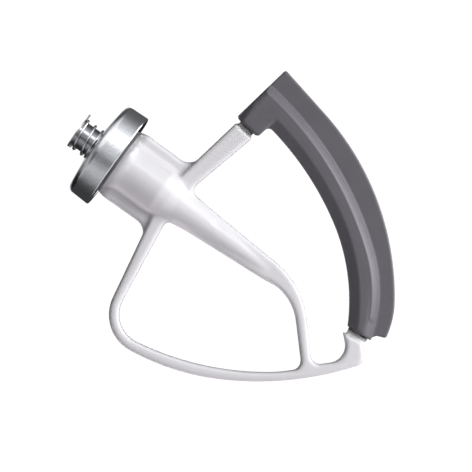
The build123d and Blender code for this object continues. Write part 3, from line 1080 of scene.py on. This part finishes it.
def ramp_of(tree, value, low, high, stops):
    """A grey ramp over a value, with its stops given on the value's own scale."""
    share_of = add_node(
        tree, "ShaderNodeMapRange", {"Value": value, "From Min": low, "From Max": high}
    ).outputs["Result"]
    ramp = add_node(tree, "ShaderNodeValToRGB", {"Fac": share_of})
    fill_ramp(ramp.color_ramp, stops, low, high)
    return ramp.outputs["Color"]


def surround():
    """The room round the beater: white to the camera, grey bands to the reflections."""
    world = bpy.data.worlds.new("studio")
    bpy.context.scene.world = world
    world.use_nodes = True
    world.cycles_visibility.diffuse = False
    tree = world.node_tree
    tree.nodes.clear()
    way = add_node(tree, "ShaderNodeTexCoord").outputs["Generated"]
    x, y, z = add_node(tree, "ShaderNodeSeparateXYZ", {"Vector": way}).outputs
    around = calculate(tree, "ARCTAN2", x, calculate(tree, "MULTIPLY", y, -1.0))
    degree = calculate(tree, "DEGREES", around)
    height = calculate(tree, "DEGREES", calculate(tree, "ARCSINE", z))
    light = 0.0
    for around_bands, height_bands in ROOM:
        light = calculate(
            tree,
            "MULTIPLY_ADD",
            ramp_of(tree, degree, -180, 180, around_bands),
            ramp_of(tree, height, -90, 90, height_bands),
            light,
        )
    dim = add_node(tree, "ShaderNodeBackground", {"Color": ROOM_TINT, "Strength": light})
    white = add_node(
        tree,
        "ShaderNodeBackground",
        {"Color": (*SOFT_WHITE, 1), "Strength": BACKDROP_STRENGTH},
    )
    seen = add_node(tree, "ShaderNodeLightPath").outputs["Is Camera Ray"]
    mixed = add_node(
        tree,
        "ShaderNodeMixShader",
        {0: seen, 1: dim.outputs["Background"], 2: white.outputs["Background"]},
    )
    out = add_node(tree, "ShaderNodeOutputWorld")
    tree.links.new(mixed.outputs["Shader"], out.inputs["Surface"])


def pale_floor(settings):
    """A plain round floor well below the hanging beater."""
    work = bmesh.new()
    bmesh.ops.create_circle(
        work,
        cap_ends=True,
        segments=FLOOR_SIDES,
        radius=settings.floor_radius,
        matrix=Matrix.Translation((0, 0, CAD_BOX[0].z - settings.floor_drop)),
    )
    mesh = bpy.data.meshes.new("pale_floor")
    work.to_mesh(mesh)
    work.free()
    floor = new_object("pale_floor", mesh)
    material, *_ = new_material(
        "pale_floor",
        Base_Color=(*FLOOR_GREY, 1),
        Roughness=0.9,
        Specular_IOR_Level=0.1,
        Emission_Color=(*SOFT_WHITE, 1),
        Emission_Strength=FLOOR_GLOW,
    )
    give_material(floor, material)
    floor.visible_diffuse = floor.visible_glossy = floor.visible_shadow = False


def place_camera(settings):
    """A long lens at the photo's viewing angle, rolled so that the beater lies aslant."""
    data = bpy.data.cameras.new("camera")
    data.sensor_width = SENSOR_WIDTH
    data.lens = SENSOR_WIDTH * settings.distance / settings.field
    data.clip_start, data.clip_end = CAMERA_CLIP
    camera = bpy.data.objects.new("camera", data)
    bpy.context.scene.collection.objects.link(camera)
    turn = settings.roll
    right = Vector((math.cos(turn), 0, -math.sin(turn)))
    up = Vector((math.sin(turn), 0, math.cos(turn)))
    back = right.cross(up)
    aim = Vector((settings.aim_x, 0, settings.aim_z))
    pose = Matrix((right, up, back)).transposed().to_4x4()
    pose.translation = aim + back * settings.distance
    camera.matrix_world = pose
    bpy.context.scene.camera = camera


class BEATER_OT_stage(bpy.types.Operator):
    """Sets up the camera, the lights, the surround and the floor"""

    bl_idname = "beater.stage"
    bl_label = "Set Stage"

    def execute(self, context):
        settings = context.scene.beater_stage
        context.scene.view_settings.view_transform = "Standard"
        aim = Vector((settings.aim_x, 0, settings.aim_z))
        place_camera(settings)
        surround()
        pale_floor(settings)
        for name, azimuth, elevation, radiance, colour in PANELS:
            soft_panel(name, aim, azimuth, elevation, radiance, colour)
        return {"FINISHED"}


class BEATER_PT_dresser(bpy.types.Panel):
    """Sizes, colours and steps for dressing the beater"""

    bl_idname = "BEATER_PT_dresser"
    bl_label = "Flat Beater"
    bl_space_type = "VIEW_3D"
    bl_region_type = "UI"
    bl_category = "Beater"

    def draw(self, context):
        for operator, group in STEPS:
            box = self.layout.box()
            box.operator(operator.bl_idname)
            settings = getattr(context.scene, group)
            for name in settings.bl_rna.properties.keys():
                if name not in ("rna_type", "name"):
                    box.prop(settings, name)


STEPS = (
    (BEATER_OT_casting, "beater_coating"),
    (BEATER_OT_scraper, "beater_rubber"),
    (BEATER_OT_steel, "beater_steel"),
    (BEATER_OT_spring, "beater_spring"),
    (BEATER_OT_stage, "beater_stage"),
)
GROUPS = {
    "beater_coating": CoatingSettings,
    "beater_rubber": RubberSettings,
    "beater_steel": SteelSettings,
    "beater_spring": SpringSettings,
    "beater_stage": StageSettings,
}


def register():
    """Makes the settings, the steps and the panel known."""
    for name, group in GROUPS.items():
        bpy.utils.register_class(group)
        setattr(bpy.types.Scene, name, bpy.props.PointerProperty(type=group))
    for operator, _ in STEPS:
        bpy.utils.register_class(operator)
    bpy.utils.register_class(BEATER_PT_dresser)


def unregister():
    """Takes the settings, the steps and the panel away again."""
    bpy.utils.unregister_class(BEATER_PT_dresser)
    for operator, _ in reversed(STEPS):
        bpy.utils.unregister_class(operator)
    for name, group in reversed(GROUPS.items()):
        delattr(bpy.types.Scene, name)
        bpy.utils.unregister_class(group)


def main():
    """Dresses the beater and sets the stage."""
    register()
    bpy.ops.beater.casting()
    bpy.ops.beater.scraper()
    bpy.ops.beater.steel()
    bpy.ops.beater.spring()
    bpy.ops.beater.stage()


if __name__ == "__main__":
    main()
